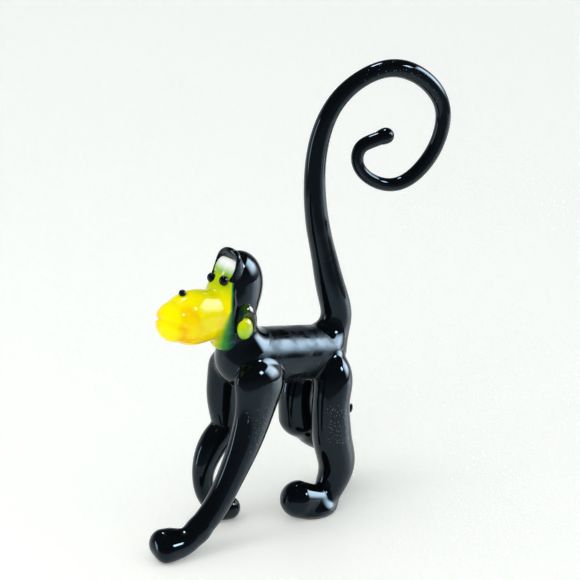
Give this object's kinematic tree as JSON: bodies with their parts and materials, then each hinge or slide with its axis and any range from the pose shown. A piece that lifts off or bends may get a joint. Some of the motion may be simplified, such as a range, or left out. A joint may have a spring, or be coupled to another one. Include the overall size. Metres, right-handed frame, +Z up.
{
  "type": "monkey figurine",
  "caption": "Small lampworked black glass monkey on all fours, with a yellow muzzle and a long tail curled high over its back.",
  "frame": {"origin": "under the middle of the outer box, on the surface the figurine stands on", "axes": "+Z up, the monkey faces -Y and its left side is +X"},
  "size_m": [0.0202, 0.08, 0.1002],
  "materials": {
    "black_glass": "fire polished, glossy, opaque black",
    "yellow_glass": "fire polished, glossy, opaque yellow with amber clouds",
    "yellow_green_glass": "fire polished, glossy, opaque, shading from yellow to green",
    "white_glass": "fire polished, glossy, opaque white",
    "dark_green_glass": "fire polished, glossy, dark olive green",
    "lime_green_glass": "fire polished, glossy, lime green"
  },
  "bodies": {
    "root": {"torso": "black_glass", "neck": "black_glass", "head_hood": "black_glass", "brow_band": "black_glass", "left_eye": "black_glass", "right_eye": "black_glass", "nose_bead": "black_glass", "left_arm": "black_glass", "left_hand": "black_glass", "right_upper_arm": "black_glass", "right_forearm": "black_glass", "right_hand": "black_glass", "left_leg": "black_glass", "left_foot": "black_glass", "right_thigh": "black_glass", "right_shin": "black_glass", "right_foot": "black_glass", "tail": "black_glass", "tail_knob": "black_glass", "face_core": "yellow_green_glass", "muzzle": "yellow_glass", "forehead_patch": "white_glass", "left_ear_shell": "dark_green_glass", "right_ear_shell": "dark_green_glass", "left_ear_lobe": "lime_green_glass", "right_ear_lobe": "lime_green_glass"}
  },
  "joints": []
}
